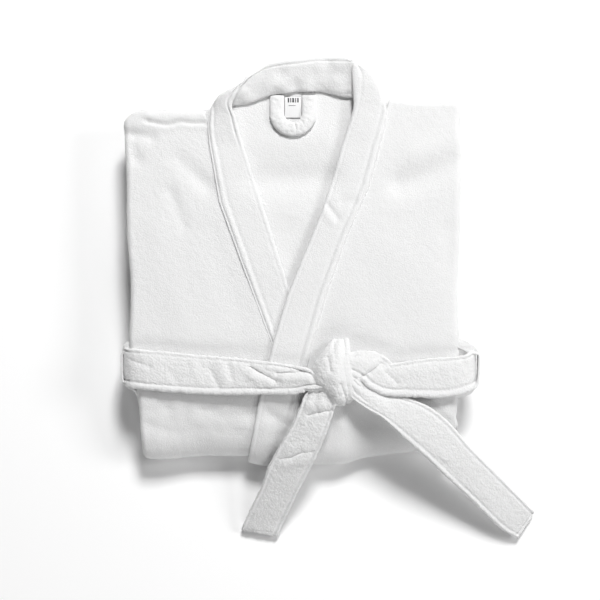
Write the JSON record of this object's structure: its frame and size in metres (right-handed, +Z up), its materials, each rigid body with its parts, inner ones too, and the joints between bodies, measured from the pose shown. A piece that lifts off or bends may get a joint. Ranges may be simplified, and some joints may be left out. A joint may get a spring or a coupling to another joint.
{
  "type": "bathrobe",
  "caption": "Terry towelling bathrobe folded into a rectangular packet, chest up, and tied with its own belt, with a banded V neck and a hanger loop.",
  "frame": {"origin": "centre of the folded robe's box, on the surface that it lies on", "axes": "+Z up from the surface, +Y towards the collar, +X towards the long tail of the belt"},
  "size_m": [0.522, 0.5976, 0.094],
  "materials": {
    "terry": "white cotton terry with a short sheared pile",
    "label": "smooth white woven label with grey marks"
  },
  "bodies": {
    "robe": {"back_panel": "terry", "right_front_panel": "terry", "left_front_panel": "terry", "right_collar_band": "terry", "left_collar_band": "terry", "neck_collar": "terry", "right_sleeve": "terry", "left_sleeve": "terry", "right_pocket": "terry", "left_pocket": "terry", "right_belt_loop": "terry", "left_belt_loop": "terry"},
    "belt": {"belt_wrap": "terry", "belt_knot": "terry"},
    "short_tail": {"belt_short_tail": "terry"},
    "long_tail": {"belt_long_tail": "terry"},
    "hanger": {"hanger_loop": "terry"},
    "label": {"size_label": "label"}
  },
  "joints": [
    {"name": "belt_slide", "type": "slide", "parent": "robe", "child": "belt", "axis": [0, -1, 0], "range_m": [0, 0.008]},
    {"name": "short_tail_lift", "type": "hinge", "parent": "belt", "child": "short_tail", "pos_m": [-0.007, -0.11313, 0.0728], "axis": [-0.8944, 0.4472, 0], "range_deg": [0, 75]},
    {"name": "long_tail_lift", "type": "hinge", "parent": "belt", "child": "long_tail", "pos_m": [0.03, -0.09763, 0.0788], "axis": [-0.3011, -0.9536, 0], "range_deg": [0, 75]},
    {"name": "hanger_loop_lift", "type": "hinge", "parent": "robe", "child": "hanger", "pos_m": [-0.048, 0.25737, 0.0657], "axis": [-1, 0, 0], "range_deg": [0, 115]},
    {"name": "label_lift", "type": "hinge", "parent": "robe", "child": "label", "pos_m": [-0.048, 0.25637, 0.0603], "axis": [-1, 0, 0], "range_deg": [0, 110]}
  ]
}
